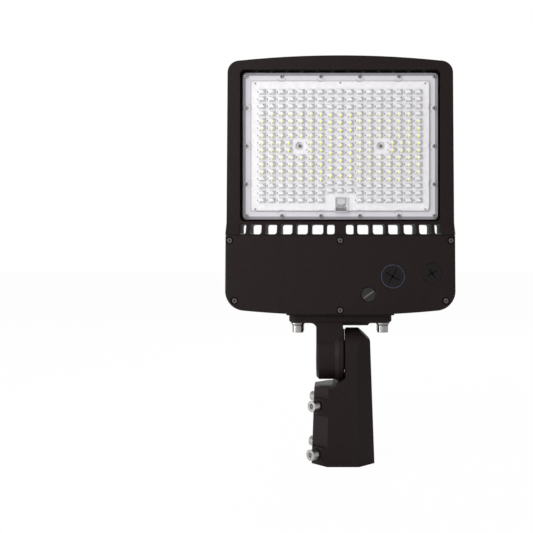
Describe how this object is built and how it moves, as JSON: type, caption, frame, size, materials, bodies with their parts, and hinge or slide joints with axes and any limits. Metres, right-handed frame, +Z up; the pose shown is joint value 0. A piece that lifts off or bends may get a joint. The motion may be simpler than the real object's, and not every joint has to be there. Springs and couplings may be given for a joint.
{
  "type": "shoebox area light",
  "caption": "Flat outdoor LED area light with a finned cast head and a clear optic plate, carried on a tilting serrated slip fitter for a round pole tenon",
  "frame": {"origin": "centre of the mouth of the tenon bore, at the lower end of the slip fitter", "axes": "+Z up along the tenon's axis, with the head upright; -Y is the light-giving side; +X is the right side seen from there; the tilt axis runs along X"},
  "size_m": [0.2678, 0.0854, 0.479],
  "materials": {
    "body_paint": "dark bronze powder coat with a fine texture, semi-matte",
    "plug_paint": "dark bronze coat, smoother and glossier than the casting",
    "steel": "stainless steel, turned",
    "rubber": "black or grey silicone, matte",
    "black_plastic": "black plastic",
    "white_plastic": "white nylon",
    "lens": "clear moulded polycarbonate with a fine haze",
    "board": "white solder mask",
    "led": "yellow phosphor",
    "lead_blue": "blue wire insulation",
    "lead_grey": "grey wire insulation",
    "driver_case": "plain aluminium case"
  },
  "bodies": {
    "fitter": {"slip_fitter": "body_paint"},
    "head": {"arm": "body_paint", "arm_gasket": "rubber", "arm_flat_washers": "steel", "arm_spring_washers": "steel", "arm_bolts": "steel", "pivot_bolt": "steel", "pivot_washer": "steel", "housing": "body_paint", "door": "body_paint", "door_gasket": "rubber", "door_screws": "steel", "plug_large": "plug_paint", "plug_large_seal": "rubber", "plug_small": "plug_paint", "plug_small_seal": "rubber", "selector_seal": "rubber", "selector_switch": "black_plastic", "lens_plate": "lens", "lens_gasket": "rubber", "lens_screws": "steel", "led_board": "board", "led_chips": "led", "board_connector": "white_plastic", "led_lead_blue": "lead_blue", "led_lead_grey": "lead_grey", "wire_grommet": "rubber", "driver": "driver_case", "surge_protector": "black_plastic", "terminal_block": "white_plastic", "chassis_screws": "steel"},
    "selector": {"selector_knob": "black_plastic"},
    "clamp_1": {"clamp_screw_1": "steel"},
    "clamp_2": {"clamp_screw_2": "steel"},
    "clamp_3": {"clamp_screw_3": "steel"},
    "clamp_4": {"clamp_screw_4": "steel"}
  },
  "joints": [
    {"name": "tilt", "type": "hinge", "parent": "fitter", "child": "head", "pos_m": [0, 0, 0.1255], "axis": [1, 0, 0], "range_deg": [-90, 90]},
    {"name": "selector_turn", "type": "hinge", "parent": "head", "child": "selector", "pos_m": [0.0296, -0.03, 0.1992], "axis": [0, 1, 0], "range_deg": [-45, 45]},
    {"name": "clamp_1_travel", "type": "slide", "parent": "fitter", "child": "clamp_1", "axis": [-0.7071, -0.7071, 0], "range_m": [-0.002, 0.004]},
    {"name": "clamp_2_travel", "type": "slide", "parent": "fitter", "child": "clamp_2", "axis": [-0.7071, 0.7071, 0], "range_m": [-0.002, 0.004]},
    {"name": "clamp_3_travel", "type": "slide", "parent": "fitter", "child": "clamp_3", "axis": [-0.7071, -0.7071, 0], "range_m": [-0.002, 0.004]},
    {"name": "clamp_4_travel", "type": "slide", "parent": "fitter", "child": "clamp_4", "axis": [-0.7071, 0.7071, 0], "range_m": [-0.002, 0.004]}
  ]
}
